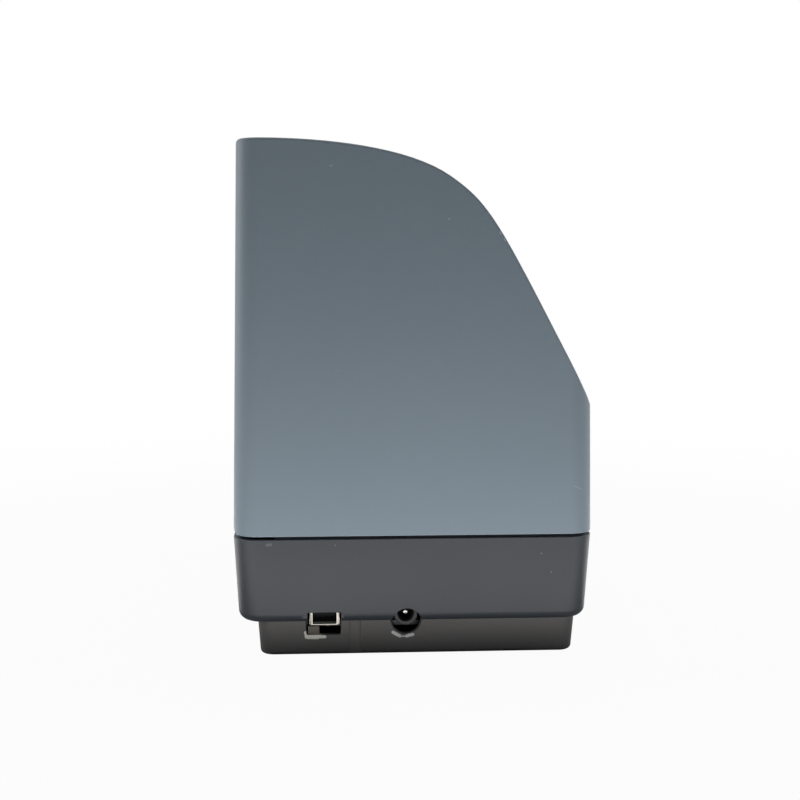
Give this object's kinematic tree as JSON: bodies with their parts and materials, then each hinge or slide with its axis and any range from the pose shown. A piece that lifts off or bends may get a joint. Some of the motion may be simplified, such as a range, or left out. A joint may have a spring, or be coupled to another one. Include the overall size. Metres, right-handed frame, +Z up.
{
  "type": "cheque scanner",
  "caption": "Compact desktop cheque scanner: tall hinged hood with a curved, sloping crown over an upright U-shaped paper path, on a tapered tub and inset plinth with USB and DC sockets.",
  "frame": {"origin": "on the table under the middle of the machine's outline", "axes": "+Z up, +X from the tall side towards the low, sloping side, +Y towards the end with the cheque slots; the sockets face -Y"},
  "size_m": [0.1296, 0.222, 0.186],
  "materials": {
    "hood_plastic": "fine moulded texture",
    "tub_plastic": "fine moulded texture",
    "plinth_plastic": "fine moulded texture",
    "guide_plastic": "smooth",
    "bed_plastic": "smooth",
    "rubber": "matt",
    "steel": "brushed",
    "contact_plate": "bright plated",
    "board": "solder resist",
    "black_plastic": "satin",
    "white_plastic": "smooth",
    "window_glass": "polished",
    "head_brass": "polished",
    "lamp_plastic": "clear",
    "ink_plastic": "satin"
  },
  "bodies": {
    "base": {"plinth_pan": "plinth_plastic", "base_tub": "tub_plastic", "hinge_rod": "steel", "status_lamp": "lamp_plastic", "foot_1": "rubber", "foot_2": "rubber", "foot_3": "rubber", "foot_4": "rubber", "case_screw_1": "steel", "case_screw_2": "steel", "case_screw_3": "steel", "case_screw_4": "steel", "main_board": "board", "usb_shell": "contact_plate", "usb_tongue": "white_plastic", "power_jack": "black_plastic", "power_jack_pin": "contact_plate", "driver_board": "board", "capacitor_1": "ink_plastic", "capacitor_2": "ink_plastic", "track_bed": "bed_plastic", "inner_guide": "guide_plastic", "outer_guide": "guide_plastic", "top_bridge": "steel", "front_imager": "black_plastic", "front_imager_glass": "window_glass", "rear_imager": "black_plastic", "rear_imager_glass": "window_glass", "magnetic_head": "head_brass", "magnetic_head_spring": "steel", "cartridge_holder": "guide_plastic", "ink_cartridge": "ink_plastic", "motor": "steel", "drive_belt": "rubber"},
    "hood": {"hood": "hood_plastic"},
    "motor_rotor": {"motor_pulley": "contact_plate"},
    "drive_roller_1": {"drive_shaft_1": "steel", "drive_tyre_1": "rubber", "drive_pulley_1": "contact_plate"},
    "drive_roller_2": {"drive_shaft_2": "steel", "drive_tyre_2": "rubber", "drive_pulley_2": "contact_plate"},
    "drive_roller_3": {"drive_shaft_3": "steel", "drive_tyre_3": "rubber", "drive_pulley_3": "contact_plate"},
    "drive_roller_4": {"drive_shaft_4": "steel", "drive_tyre_4": "rubber", "drive_pulley_4": "contact_plate"},
    "pinch_arm_1": {"pinch_arm_1": "bed_plastic"},
    "pinch_arm_2": {"pinch_arm_2": "bed_plastic"},
    "pinch_arm_3": {"pinch_arm_3": "bed_plastic"},
    "pinch_arm_4": {"pinch_arm_4": "bed_plastic"},
    "pinch_roller_1": {"pinch_roller_1": "rubber"},
    "pinch_roller_2": {"pinch_roller_2": "rubber"},
    "pinch_roller_3": {"pinch_roller_3": "rubber"},
    "pinch_roller_4": {"pinch_roller_4": "rubber"}
  },
  "joints": [
    {"name": "hood_hinge", "type": "hinge", "parent": "base", "child": "hood", "pos_m": [-0.0608, 0, 0.0495], "axis": [0, -1, 0], "range_deg": [0, 90]},
    {"name": "motor_spin", "type": "hinge", "parent": "base", "child": "motor_rotor", "pos_m": [0.004, 0.086, 0.12], "axis": [0, 0, 1], "continuous": true},
    {"name": "drive_spin_1", "type": "hinge", "parent": "base", "child": "drive_roller_1", "pos_m": [0.024, 0.062, 0.07], "axis": [0, 0, 1], "continuous": true},
    {"name": "drive_spin_2", "type": "hinge", "parent": "base", "child": "drive_roller_2", "pos_m": [0.024, -0.03, 0.07], "axis": [0, 0, 1], "continuous": true},
    {"name": "drive_spin_3", "type": "hinge", "parent": "base", "child": "drive_roller_3", "pos_m": [-0.016, -0.03, 0.07], "axis": [0, 0, 1], "continuous": true},
    {"name": "drive_spin_4", "type": "hinge", "parent": "base", "child": "drive_roller_4", "pos_m": [-0.016, 0.062, 0.07], "axis": [0, 0, 1], "continuous": true},
    {"name": "pinch_swing_1", "type": "hinge", "parent": "base", "child": "pinch_arm_1", "pos_m": [0.0427, 0.079, 0.06], "axis": [0, 0, 1], "range_deg": [0, 5], "stiffness_Nm_per_rad": 0.05, "springref_deg": -20.05},
    {"name": "pinch_swing_2", "type": "hinge", "parent": "base", "child": "pinch_arm_2", "pos_m": [0.0427, -0.013, 0.06], "axis": [0, 0, 1], "range_deg": [0, 5], "stiffness_Nm_per_rad": 0.05, "springref_deg": -20.05},
    {"name": "pinch_swing_3", "type": "hinge", "parent": "base", "child": "pinch_arm_3", "pos_m": [-0.0347, -0.013, 0.06], "axis": [0, 0, -1], "range_deg": [0, 5], "stiffness_Nm_per_rad": 0.05, "springref_deg": -20.05},
    {"name": "pinch_swing_4", "type": "hinge", "parent": "base", "child": "pinch_arm_4", "pos_m": [-0.0347, 0.079, 0.06], "axis": [0, 0, -1], "range_deg": [0, 5], "stiffness_Nm_per_rad": 0.05, "springref_deg": -20.05},
    {"name": "pinch_spin_1", "type": "hinge", "parent": "pinch_arm_1", "child": "pinch_roller_1", "pos_m": [0.0403, 0.062, 0.06], "axis": [0, 0, 1], "continuous": true},
    {"name": "pinch_spin_2", "type": "hinge", "parent": "pinch_arm_2", "child": "pinch_roller_2", "pos_m": [0.0403, -0.03, 0.06], "axis": [0, 0, 1], "continuous": true},
    {"name": "pinch_spin_3", "type": "hinge", "parent": "pinch_arm_3", "child": "pinch_roller_3", "pos_m": [-0.0323, -0.03, 0.06], "axis": [0, 0, 1], "continuous": true},
    {"name": "pinch_spin_4", "type": "hinge", "parent": "pinch_arm_4", "child": "pinch_roller_4", "pos_m": [-0.0323, 0.062, 0.06], "axis": [0, 0, 1], "continuous": true}
  ],
  "couplings": [
    {"joint": "drive_spin_1", "follows": "motor_spin", "ratio": 1},
    {"joint": "drive_spin_2", "follows": "motor_spin", "ratio": 1},
    {"joint": "drive_spin_3", "follows": "motor_spin", "ratio": 1},
    {"joint": "drive_spin_4", "follows": "motor_spin", "ratio": 1}
  ]
}
